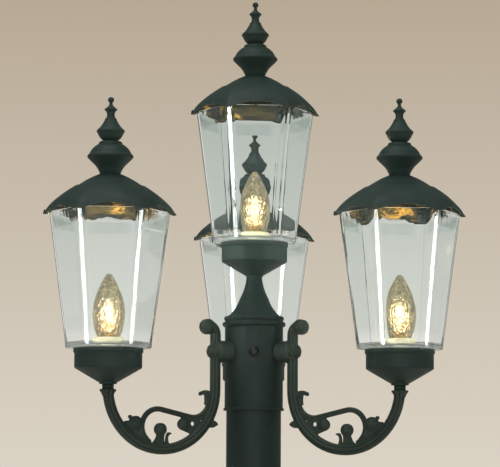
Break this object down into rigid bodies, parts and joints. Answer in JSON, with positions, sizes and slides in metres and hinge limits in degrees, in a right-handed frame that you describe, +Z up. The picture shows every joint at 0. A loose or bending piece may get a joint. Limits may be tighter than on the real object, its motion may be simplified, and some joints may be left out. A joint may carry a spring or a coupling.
{
  "type": "garden lamp post",
  "caption": "Garden lamp post with a hexagonal lantern on its top and more on scroll arms round it; each lantern has a domed roof, a turned finial and a flame-shaped bulb.",
  "frame": {"origin": "centre of the underside of the foot, on the ground", "axes": "+Z up along the post, +Y along the back arm, -Y to the front, between the other arms, +X to the right"},
  "size_m": [0.6698, 0.5887, 2.2518],
  "materials": {
    "dark_green_paint": "dark green powder coat, satin",
    "arm_casting": "dark green powder coat with worn bronze edges",
    "post_paint": "dark green powder coat, satin",
    "steel": "zinc plated",
    "brass": "plain brass",
    "rubber": "black gasket rubber",
    "porcelain": "cream glazed",
    "block_plastic": "moulded, matt",
    "lantern_glass": "clear moulded",
    "bulb_glass": "clear, crackled",
    "core": "warm glowing core"
  },
  "bodies": {
    "post": {"post_foot": "post_paint", "post_tube": "post_paint", "sleeve": "dark_green_paint", "top_cone": "dark_green_paint", "arm_left": "arm_casting", "arm_right": "arm_casting", "arm_back": "arm_casting", "foot_screws": "steel", "sleeve_screws": "dark_green_paint", "arm_bolts": "dark_green_paint", "arm_nuts": "steel", "nipples": "dark_green_paint", "nipple_nuts": "brass", "gaskets": "rubber", "shade_rings": "porcelain", "terminal_bracket": "steel", "terminal_block": "block_plastic", "cup_top": "dark_green_paint", "glass_top": "lantern_glass", "lamp_holder_top": "porcelain", "cup_left": "dark_green_paint", "glass_left": "lantern_glass", "lamp_holder_left": "porcelain", "cup_right": "dark_green_paint", "glass_right": "lantern_glass", "lamp_holder_right": "porcelain", "cup_back": "dark_green_paint", "glass_back": "lantern_glass", "lamp_holder_back": "porcelain"},
    "roof_top_unit": {"roof_top": "dark_green_paint", "roof_screws_top": "steel", "finial_top": "dark_green_paint"},
    "bulb_top_unit": {"bulb_base_top": "brass", "bulb_glass_top": "bulb_glass", "bulb_core_top": "core"},
    "roof_left_unit": {"roof_left": "dark_green_paint", "roof_screws_left": "steel", "finial_left": "dark_green_paint"},
    "bulb_left_unit": {"bulb_base_left": "brass", "bulb_glass_left": "bulb_glass", "bulb_core_left": "core"},
    "roof_right_unit": {"roof_right": "dark_green_paint", "roof_screws_right": "steel", "finial_right": "dark_green_paint"},
    "bulb_right_unit": {"bulb_base_right": "brass", "bulb_glass_right": "bulb_glass", "bulb_core_right": "core"},
    "roof_back_unit": {"roof_back": "dark_green_paint", "roof_screws_back": "steel", "finial_back": "dark_green_paint"},
    "bulb_back_unit": {"bulb_base_back": "brass", "bulb_glass_back": "bulb_glass", "bulb_core_back": "core"}
  },
  "joints": [
    {"name": "roof_top_lift", "type": "slide", "parent": "post", "child": "roof_top_unit", "axis": [0, 0, 1], "range_m": [0, 0.15]},
    {"name": "roof_left_lift", "type": "slide", "parent": "post", "child": "roof_left_unit", "axis": [0, 0, 1], "range_m": [0, 0.15]},
    {"name": "roof_right_lift", "type": "slide", "parent": "post", "child": "roof_right_unit", "axis": [0, 0, 1], "range_m": [0, 0.15]},
    {"name": "roof_back_lift", "type": "slide", "parent": "post", "child": "roof_back_unit", "axis": [0, 0, 1], "range_m": [0, 0.15]},
    {"name": "bulb_top_unscrew", "type": "hinge", "parent": "post", "child": "bulb_top_unit", "pos_m": [0, 0, 1.8455], "axis": [0, 0, 1], "range_deg": [0, 810]},
    {"name": "bulb_left_unscrew", "type": "hinge", "parent": "post", "child": "bulb_left_unit", "pos_m": [-0.2295, -0.1325, 1.6645], "axis": [0, 0, 1], "range_deg": [0, 810]},
    {"name": "bulb_right_unscrew", "type": "hinge", "parent": "post", "child": "bulb_right_unit", "pos_m": [0.2295, -0.1325, 1.6645], "axis": [0, 0, 1], "range_deg": [0, 810]},
    {"name": "bulb_back_unscrew", "type": "hinge", "parent": "post", "child": "bulb_back_unit", "pos_m": [0, 0.265, 1.6645], "axis": [0, 0, 1], "range_deg": [0, 810]}
  ]
}
